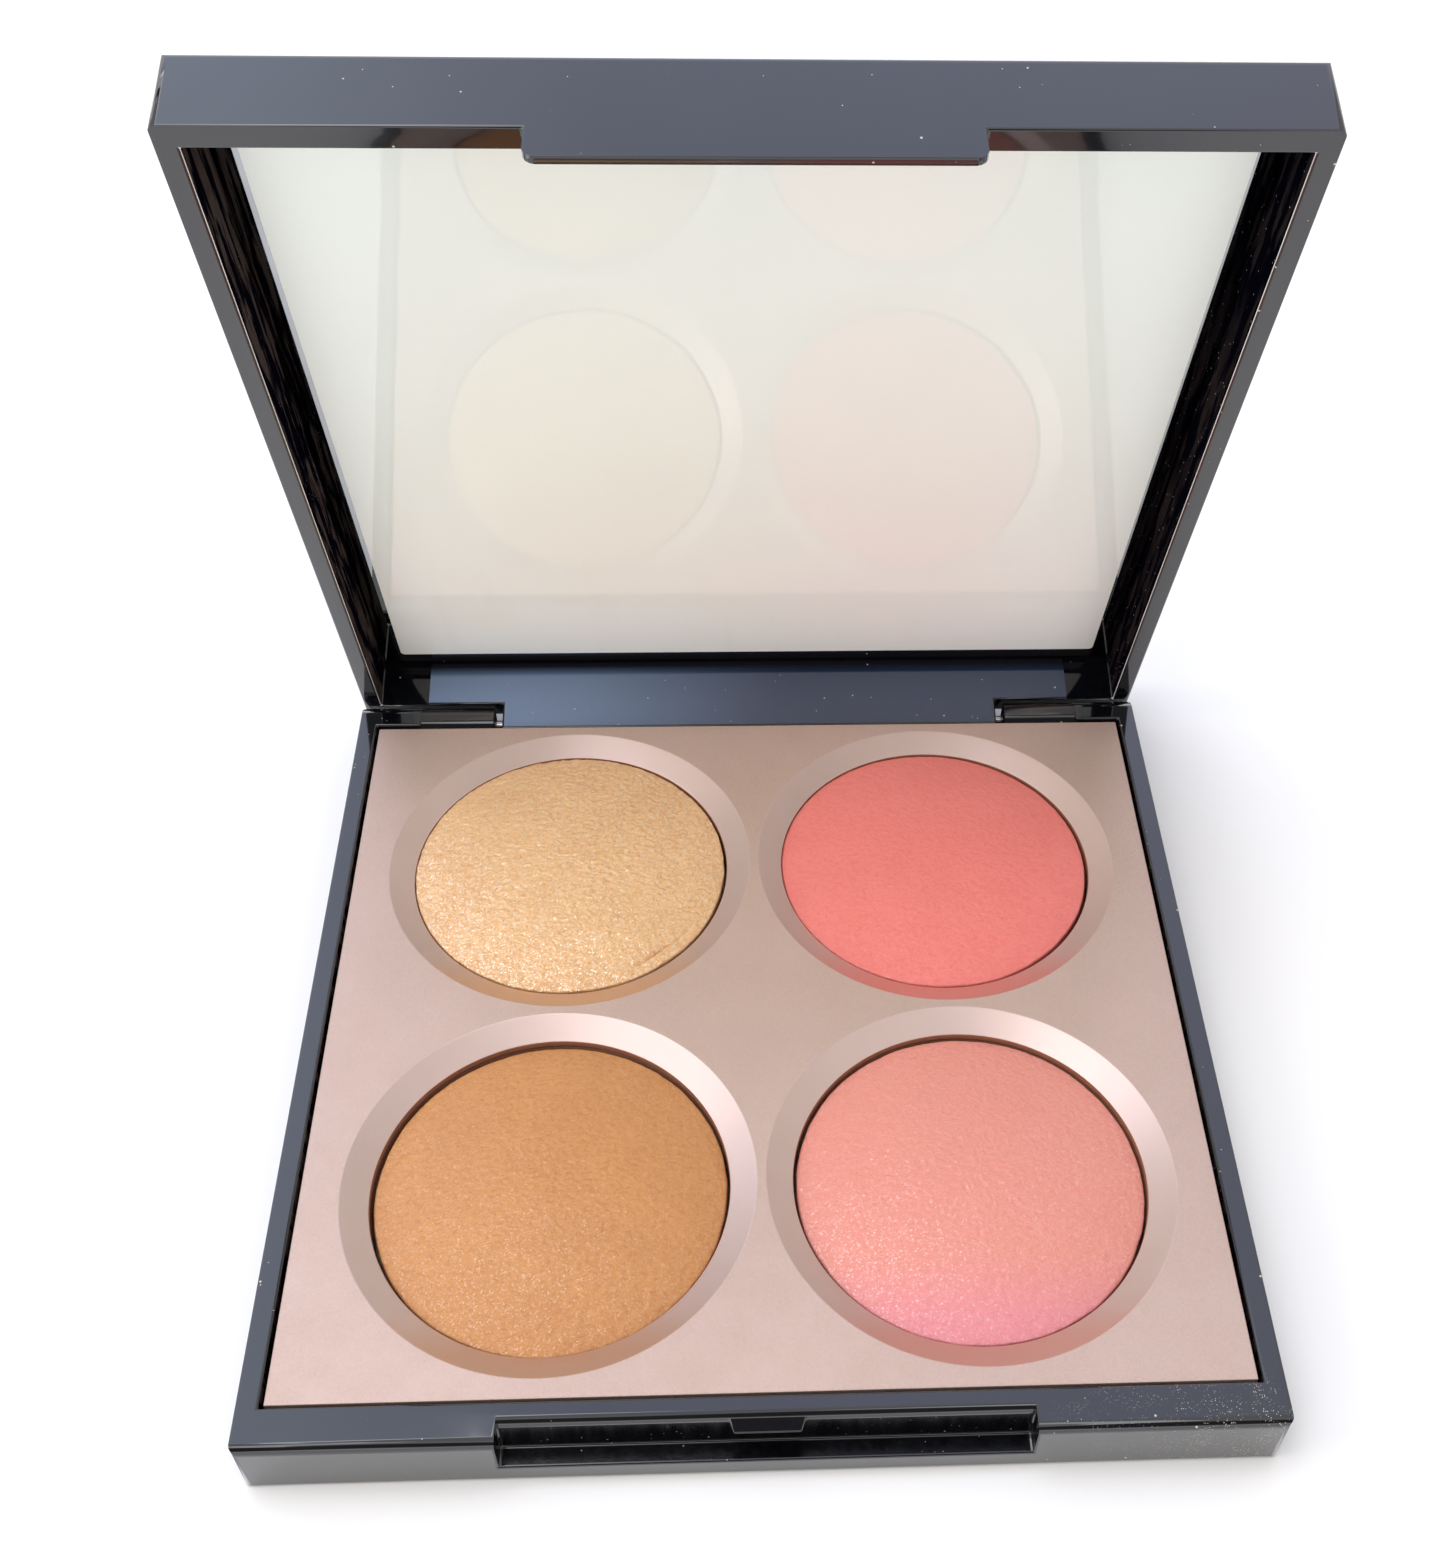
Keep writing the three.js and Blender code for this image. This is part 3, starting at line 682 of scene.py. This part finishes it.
def reach(direction, low, high, start):
    """Distance along one axis of a ray from start until it leaves low..high."""
    if abs(direction) <= 1e-9:
        return 1.0
    return ((high if direction > 0 else low) - start) / direction


def cell_border(low, high, centre, height, bm):
    """Vertices where rays from centre meet a rectangle, one per well segment, corners included."""
    corners = {}
    turn = 2 * math.pi / WELL_SEGMENTS
    for x in (low.x, high.x):
        for y in (low.y, high.y):
            angle = math.atan2(y - centre.y, x - centre.x)
            corners[round(angle / turn) % WELL_SEGMENTS] = (x, y)
    border = []
    for i in range(WELL_SEGMENTS):
        along = Vector((math.cos(i * turn), math.sin(i * turn)))
        reach_x = reach(along.x, low.x, high.x, centre.x)
        reach_y = reach(along.y, low.y, high.y, centre.y)
        hit = centre.xy + along * min(reach_x, reach_y)
        x, y = corners.get(i, hit)
        border.append(bm.verts.new((x, y, height)))
    return border


def deck_cell(bm, shade, plate_low, plate_high, middle_y):
    """One well with its quarter of the plate; the quarter's outer border stays open."""
    low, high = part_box("powder_" + shade)
    centre = (low + high) / 2
    x0, x1 = (plate_low.x, 0) if centre.x < 0 else (0, plate_high.x)
    y0, y1 = (plate_low.y, middle_y) if centre.y < middle_y else (middle_y, plate_high.y)
    cell_low, cell_high = Vector((x0, y0)), Vector((x1, y1))
    top = plate_high.z
    under = top - PLATE_THICKNESS
    upper = cell_border(cell_low, cell_high, centre, top, bm)
    lower = cell_border(cell_low, cell_high, centre, under, bm)
    collar = WELL_HOLE_RADIUS + COLLAR_WALL
    ring_finish = 1 + SHADES.index(shade)
    wall_finish = 1 + len(SHADES)
    profile = [
        (WELL_OUTER_RADIUS, top, 0),
        (WELL_HOLE_RADIUS, top - WELL_CHAMFER_DEPTH, ring_finish),
        (WELL_HOLE_RADIUS, plate_low.z, wall_finish),
        (collar, plate_low.z, wall_finish),
        (collar, under, 0),
    ]
    ring = upper
    for radius, height, material in profile:
        following = add_ring(bm, centre, radius, height, WELL_SEGMENTS)
        bridge(bm, ring, following, material)
        ring = following
    bridge(bm, ring, lower, 0)


def close_rim(bm):
    """Walls between the plate's upper and lower outline."""
    open_edges = [e for e in bm.edges if len(e.link_faces) == 1]
    bmesh.ops.bridge_loops(bm, edges=open_edges)


def build_deck(materials):
    """The rose plate: four quarters with a well each, joined and closed at the rim."""
    plate_low, plate_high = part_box("deck_plate")
    centres = [sum(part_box("powder_" + s), Vector()) / 2 for s in SHADES]
    middle_y = sum(c.y for c in centres) / len(centres)
    bm = bmesh.new()
    for shade in SHADES:
        deck_cell(bm, shade, plate_low, plate_high, middle_y)
    bmesh.ops.remove_doubles(bm, verts=bm.verts, dist=0.002 * MM)
    close_rim(bm)
    piece = new_piece("deck_plate_satin", bm, "base", "deck_plate", materials, 25)
    return soften_edges(piece, DECK_BEVEL, segments=3, angle=20)


# ---- powders ---------------------------------------------------------------------------------

RELIEF = {
    # depths in millimetres of the broad swells, creases and edge wobble, and the creases' run
    "highlighter": dict(swell=0.13, crease=0.10, wobble=0.12, run=(0.9, 1.25), seed=3.0),
    "coral_blush": dict(swell=0.06, crease=0.048, wobble=0.09, run=(1.0, 1.2), seed=17.0),
    "bronzer": dict(swell=0.07, crease=0.052, wobble=0.12, run=(1.0, 1.1), seed=31.0),
    "peach_blush": dict(swell=0.07, crease=0.052, wobble=0.13, run=(1.15, 1.0), seed=47.0),
}
# where each dome sits: off its well's middle, above its CAD place, and how much it outgrows its
# CAD radius, in millimetres
SEAT = {
    "highlighter": (-0.13, 0.12, 0.42, 0.36),
    "coral_blush": (-0.15, 0.10, 0.32, 0.32),
    "bronzer": (0.06, -0.20, 0.0, 0.2),
    "peach_blush": (0.0, -0.10, 0.0, 0.24),
}

# the highlighter's crack, along its front right edge
CRACK_DEPTH = 0.42 * MM
CRACK_START = math.radians(-68)
CRACK_END = math.radians(-33)
CRACK_RADIUS = 0.955        # at its ends, as a share of the dome's radius
CRACK_BOW = 0.03            # how much nearer the middle it runs halfway along
CRACK_HALF_WIDTH = 0.012


def dome_relief(x, y, relief):
    """Height to add to the dome, in metres, at a point given in metres from its middle."""
    run_x, run_y = relief["run"]
    seed = relief["seed"]
    swell = noise.noise(Vector((x / MM * 0.13, y / MM * 0.13, seed)))
    spot = Vector((x / MM * run_x, y / MM * run_y, seed))
    warp = noise.noise_vector(spot * 0.4) * 0.9
    folds = 1 - abs(noise.noise((spot + warp) * 0.8)) * 2.2
    pebbles = noise.noise((spot + warp) * 1.9)
    return (swell * relief["swell"] + (folds * 0.5 + pebbles * 0.85) * relief["crease"]) * MM


def crack_depth(radius_share, angle):
    """How deep the highlighter's crack is, from 0 to 1; angle runs from 0 round to 2 pi."""
    signed = angle if angle < math.pi else angle - 2 * math.pi
    if not CRACK_START < signed < CRACK_END:
        return 0.0
    along = math.sin(math.pi * (signed - CRACK_START) / (CRACK_END - CRACK_START))
    line = CRACK_RADIUS - CRACK_BOW * along
    return max(0.0, 1 - abs(radius_share - line) / CRACK_HALF_WIDTH) * along


def edge_inset(angle, relief):
    """How far the dome's edge stays inside its full radius, with a slow wobble and small chips."""
    x, y = math.cos(angle), math.sin(angle)
    wobble = noise.noise(Vector((x * 2.6, y * 2.6, relief["seed"])))
    chips = noise.noise(Vector((x * 11, y * 11, relief["seed"])))
    return POWDER_SHOULDER + relief["wobble"] * MM * max(0.0, 0.35 + wobble * 0.7 + chips * 0.5)


def shoulder_ring(bm, centre, ring, edge_ring, spread, drop):
    """A ring outside and below the dome's edge, each vertex in line with the ring before."""
    following = []
    for vert, edge in zip(ring, edge_ring):
        flat = Vector((vert.co.x - centre.x, vert.co.y - centre.y))
        edge_radius = Vector((edge.co.x - centre.x, edge.co.y - centre.y)).length
        out = flat.normalized() * (edge_radius + POWDER_SHOULDER * spread)
        following.append(bm.verts.new((centre.x + out.x, centre.y + out.y, edge.co.z - drop * MM)))
    return following


def build_powder(shade, material):
    """A baked dome with real relief, its rounded edge, its side and its flat foot."""
    low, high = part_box("powder_" + shade)
    relief = RELIEF[shade]
    across, along, lift, growth = (value * MM for value in SEAT[shade])
    shift = Vector((across, along, 0))
    centre = (low + high) / 2 + shift
    full = (high.x - low.x) / 2 + growth
    edge_height = POWDER_EDGE_HEIGHT + lift
    crown = high.z - edge_height - POWDER_HEADROOM
    bm = bmesh.new()

    def dome_vertex(share, angle):
        """At a share of the edge's radius, and never above the CAD dome's top."""
        radius = (full - edge_inset(angle, relief)) * share
        x, y = radius * math.cos(angle), radius * math.sin(angle)
        height = edge_height + crown * (1 - (radius / full) ** 2) + dome_relief(x, y, relief)
        if shade == "highlighter":
            height -= CRACK_DEPTH * crack_depth(share, angle)
        return bm.verts.new((centre.x + x, centre.y + y, min(height, high.z)))

    turn = 2 * math.pi / POWDER_SEGMENTS
    rings = [
        [dome_vertex(k / POWDER_RINGS, i * turn) for i in range(POWDER_SEGMENTS)]
        for k in range(1, POWDER_RINGS + 1)
    ]
    peak = min(high.z, edge_height + crown + dome_relief(0, 0, relief))
    middle = bm.verts.new((centre.x, centre.y, peak))
    for i in range(POWDER_SEGMENTS):
        bm.faces.new((middle, rings[0][i], rings[0][(i + 1) % POWDER_SEGMENTS]))
    for inner, outer in zip(rings, rings[1:]):
        bridge(bm, inner, outer)
    ring = rings[-1]
    for spread, drop in SHOULDER_STEPS:
        following = shoulder_ring(bm, centre, ring, rings[-1], spread, drop)
        bridge(bm, ring, following)
        ring = following
    foot_radius = full - growth - POWDER_FOOT_INSET
    foot = add_ring(bm, centre - shift, foot_radius, low.z, POWDER_SEGMENTS)
    bridge(bm, ring, foot)
    bm.faces.new(foot)
    node = "powder_" + shade
    return new_piece("powder_dome_" + shade, bm, "base", node, [material], 60)


# ---- parts inside ----------------------------------------------------------------------------


def build_pan(shade, material):
    """A pressed tray with a curled rim."""
    low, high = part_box("pan_" + shade)
    radius = (high.x - low.x) / 2
    profile = [
        (radius - 0.6 * MM, low.z),
        (radius - 0.2 * MM, low.z + 0.1 * MM),
        (radius, low.z + 0.5 * MM),
        (radius, high.z - PAN_CURL),
        (radius - PAN_CURL, high.z),
        (radius - PAN_WALL + PAN_CURL, high.z),
        (radius - PAN_WALL, high.z - PAN_CURL),
        (radius - PAN_WALL, low.z + 0.6 * MM),
        (radius - PAN_WALL - 0.15 * MM, low.z + 0.5 * MM),
    ]
    bm = bmesh.new()
    lathe(bm, (low + high) / 2, profile, PAN_SEGMENTS)
    return new_piece("pan_tray_" + shade, bm, "base", "pan_" + shade, [material], 50)


def build_glue(shade, material):
    """A disc of glue, squeezed out in a soft bulge."""
    low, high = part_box("pan_glue_" + shade)
    radius = (high.x - low.x) / 2
    thick = high.z - low.z
    profile = [
        (radius - thick, low.z),
        (radius, low.z + thick * 0.35),
        (radius - thick * 0.3, high.z - thick * 0.2),
        (radius - thick * 1.2, high.z),
    ]
    bm = bmesh.new()
    lathe(bm, (low + high) / 2, profile, GLUE_SEGMENTS)
    return new_piece("glue_disc_" + shade, bm, "base", "pan_glue_" + shade, [material], 50)


def build_pin(side, material):
    """A straight pin with chamfered ends, turned upright and laid along X."""
    node = "hinge_pin_" + side
    low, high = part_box(node)
    radius = (high.z - low.z) / 2
    length = high.x - low.x
    profile = [
        (radius - PIN_CHAMFER, -length / 2),
        (radius, -length / 2 + PIN_CHAMFER),
        (radius, length / 2 - PIN_CHAMFER),
        (radius - PIN_CHAMFER, length / 2),
    ]
    bm = bmesh.new()
    lathe(bm, Vector(), profile, PIN_SEGMENTS)
    lie = Matrix.Translation((low + high) / 2) @ Matrix.Rotation(math.radians(90), 4, "Y")
    bmesh.ops.transform(bm, matrix=lie, verts=bm.verts)
    return new_piece(node + "_rod", bm, "base", node, [material], 50)


# ---- lid -------------------------------------------------------------------------------------


def lid_turn():
    """Matrix from the shut lid to the lid at rest."""
    joint = frame["joints"][0]
    pivot = Matrix.Translation(Vector(joint["pos_m"]))
    angle = -math.radians(joint["range_deg"][0])
    return pivot @ Matrix.Rotation(angle, 4, Vector(joint["axis"])) @ pivot.inverted()


def build_mirror(silver, edge):
    """The glass plate: silver on its two large faces, ground glass on its edges."""
    bm = node_copy("mirror_glass")
    by_area = sorted(bm.faces, key=lambda f: f.calc_area())
    for face in bm.faces:
        face.material_index = 1
    for face in by_area[-2:]:
        face.material_index = 0
    for face in round_edges(bm, MIRROR_BEVEL, segments=2, sharp_angle=60):
        face.material_index = 1
    piece = new_piece("mirror_plate", bm, "lid", "mirror_glass", [silver, edge])
    return weigh_normals(piece)


def build_layer(node, name, material, width):
    """A flat sheet with softened edges."""
    piece = new_piece(name, node_copy(node), "lid", node, [material])
    return soften_edges(piece, width, segments=2)


# ---- stage -----------------------------------------------------------------------------------

WORLD_FRONT = (1.85, 1.84, 1.80, 1)
WORLD_BACK = (1.12, 1.2, 1.55, 1)
WORLD_LEFT = (1.6, 1.8, 2.2, 1)
WORLD_FLAG = (0.12, 0.10, 0.10, 1)
WORLD_BELOW = (0.78, 0.72, 0.66, 1)
WORLD_ABOVE = (0.95, 0.95, 0.95, 1)

# soft lights: direction from the object, distance, sizes, radiance and tint
PANELS = {
    "window": ((-0.36, -0.20, 0.91), 0.75, (0.55, 0.36), 2.0, (0.94, 0.95, 1.02)),
    "ceiling_lamp": ((-0.20, 0.14, 0.97), 0.75, (0.28, 0.16), 3.0, (1.0, 0.98, 0.96)),
    "left_key": ((-0.86, -0.10, 0.46), 0.75, (0.32, 0.32), 4.0, (1.0, 0.99, 1.0)),
}
PANEL_TARGET = (0, 0, 0.02)

CAMERA_PLACE = (-2.80 * MM, -114.22 * MM, 163.16 * MM)
CAMERA_TURN = (42.488, -1.431, -2.257)      # degrees about X, Y and Z
CAMERA_LENS = 42.112                        # millimetres, on a sensor 36 wide
CAMERA_SHIFT = (-0.05697, 0.02705)


def add_camera():
    """The photograph's camera, from a fit to the case, the wells and the lid."""
    data = bpy.data.cameras.new("camera")
    data.lens = CAMERA_LENS
    data.sensor_width = 36
    data.shift_x, data.shift_y = CAMERA_SHIFT
    data.clip_start = 0.005
    data.clip_end = 20
    camera = bpy.data.objects.new("camera", data)
    camera.location = CAMERA_PLACE
    camera.rotation_euler = Euler([math.radians(a) for a in CAMERA_TURN])
    bpy.context.scene.collection.objects.link(camera)
    bpy.context.scene.camera = camera


def add_panel(name, toward, distance, size, radiance, tint):
    """A soft rectangular light that faces the object from the direction toward."""
    data = bpy.data.lights.new(name, "AREA")
    data.shape = "RECTANGLE"
    data.size, data.size_y = size
    data.energy = radiance * math.pi * size[0] * size[1]
    data.color = tint
    light = bpy.data.objects.new(name, data)
    direction = Vector(toward).normalized()
    light.location = Vector(PANEL_TARGET) + direction * distance
    light.rotation_euler = direction.to_track_quat("Z", "Y").to_euler()
    bpy.context.scene.collection.objects.link(light)


def add_world():
    """Studio surroundings: bright paper in front, a cool wall behind, a dark flag over the camera."""
    world = bpy.data.worlds.new("studio")
    world.use_nodes = True
    tree = world.node_tree
    direction = tree.nodes.new("ShaderNodeTexCoord").outputs["Generated"]

    def toward(place, narrow, wide):
        """1 within narrow degrees of a direction, falling to 0 at wide degrees."""
        dot = tree.nodes.new("ShaderNodeVectorMath")
        dot.operation = "DOT_PRODUCT"
        dot.inputs[1].default_value = Vector(place).normalized()
        tree.links.new(direction, dot.inputs[0])
        fade = tree.nodes.new("ShaderNodeMapRange")
        fade.interpolation_type = "SMOOTHSTEP"
        fade.inputs["From Min"].default_value = math.cos(math.radians(wide))
        fade.inputs["From Max"].default_value = math.cos(math.radians(narrow))
        tree.links.new(dot.outputs["Value"], fade.inputs["Value"])
        return fade.outputs["Result"]

    def over(share, below, above):
        """Lays one colour over another where share is 1."""
        mix = tree.nodes.new("ShaderNodeMix")
        mix.data_type = "RGBA"
        tree.links.new(share, mix.inputs["Factor"])
        for socket, value in ((mix.inputs[6], below), (mix.inputs[7], above)):
            if isinstance(value, bpy.types.NodeSocket):
                tree.links.new(value, socket)
            else:
                socket.default_value = value
        return mix.outputs[2]

    look = over(toward((0, 0, 1), 10, 90), WORLD_BELOW, WORLD_ABOVE)
    look = over(toward((0, -1, 0.15), 20, 75), look, WORLD_FRONT)
    look = over(toward((-0.15, 0.62, 0.8), 15, 45), look, WORLD_BACK)
    look = over(toward((-0.5, 0.4, 0.75), 8, 28), look, WORLD_LEFT)
    look = over(toward((0, -0.8, 0.6), 19, 33), look, WORLD_FLAG)
    background = tree.nodes["Background"]
    tree.links.new(look, background.inputs["Color"])
    bpy.context.scene.world = world


def add_floor():
    """A sheet of pale paper just under the base."""
    bm = bmesh.new()
    bmesh.ops.create_grid(bm, x_segments=8, y_segments=8, size=1.5)
    mesh = bpy.data.meshes.new("floor")
    bm.to_mesh(mesh)
    bm.free()
    n = Nodes("floor_paper")
    fibre = n.noise(0.02, detail=4)
    n.set(base_color=n.blend(fibre, *PAPER), roughness=0.85)
    mesh.materials.append(n.material)
    floor = bpy.data.objects.new("floor", mesh)
    floor.location.z = cad_low.z - 0.02 * MM
    bpy.context.scene.collection.objects.link(floor)


def set_display():
    """Plain colours, as a phone's picture of the object on white paper has them."""
    view = bpy.context.scene.view_settings
    view.view_transform = "Standard"
    view.look = "None"
    view.exposure = 0
    view.gamma = 1


# ---- everything ------------------------------------------------------------------------------


def build_base():
    """Every piece on the base; the finishes are in the order that base_zone numbers them."""
    finishes = [
        black_lacquer("base_lacquer", powder_fallout=True),
        black_satin("base_satin", SIDE_BLACK_AND_REFLECTION, rough=0.42, gloss=0.0),
        # the notch's darker, duller black is painted shade
        black_satin("notch_painted_shade", NOTCH_SHADE_BLACK, rough=0.22, gloss=0.22),
    ]
    build_shell("base_shell", "base", finishes, Matrix(), base_zone)
    build_deck([rose_satin()] + [satin_ring(shade) for shade in SHADES] + [stain_and_reflection_wall()])
    aluminium = stained_pan()
    glue = soft_plastic("glue_resin", GLUE, 0.4)
    steel = drawn_steel()
    for shade in SHADES:
        build_powder(shade, baked_powder(shade))
        build_pan(shade, aluminium)
        build_glue(shade, glue)
    for side in ("left", "right"):
        build_pin(side, steel)


def build_lid():
    """Every piece on the lid; lid_zone numbers the first three finishes."""
    finishes = [
        black_lacquer("lid_lacquer"),
        black_satin("lid_satin", SIDE_BLACK_AND_REFLECTION, rough=0.42, gloss=0.0, lean=LID_LEAN),
        # the rear wall's blue-grey is a painted reflection
        black_lacquer("rear_wall_lacquer", painted_reflection=True),
        painted_edge_highlight(),
    ]
    build_shell("lid_shell", "lid", finishes, lid_turn().inverted(), lid_zone)
    build_mirror(silvered_mirror(), glass_edge())
    foam = soft_plastic("tape_foam", FOAM, 0.8)
    build_layer("mirror_tape", "mirror_tape_sheet", foam, TAPE_BEVEL)
    build_layer("mirror_film", "mirror_film_sheet", milky_film(), FILM_BEVEL)


build_base()
build_lid()
add_floor()
add_world()
for name, settings in PANELS.items():
    add_panel(name, *settings)
set_display()
add_camera()
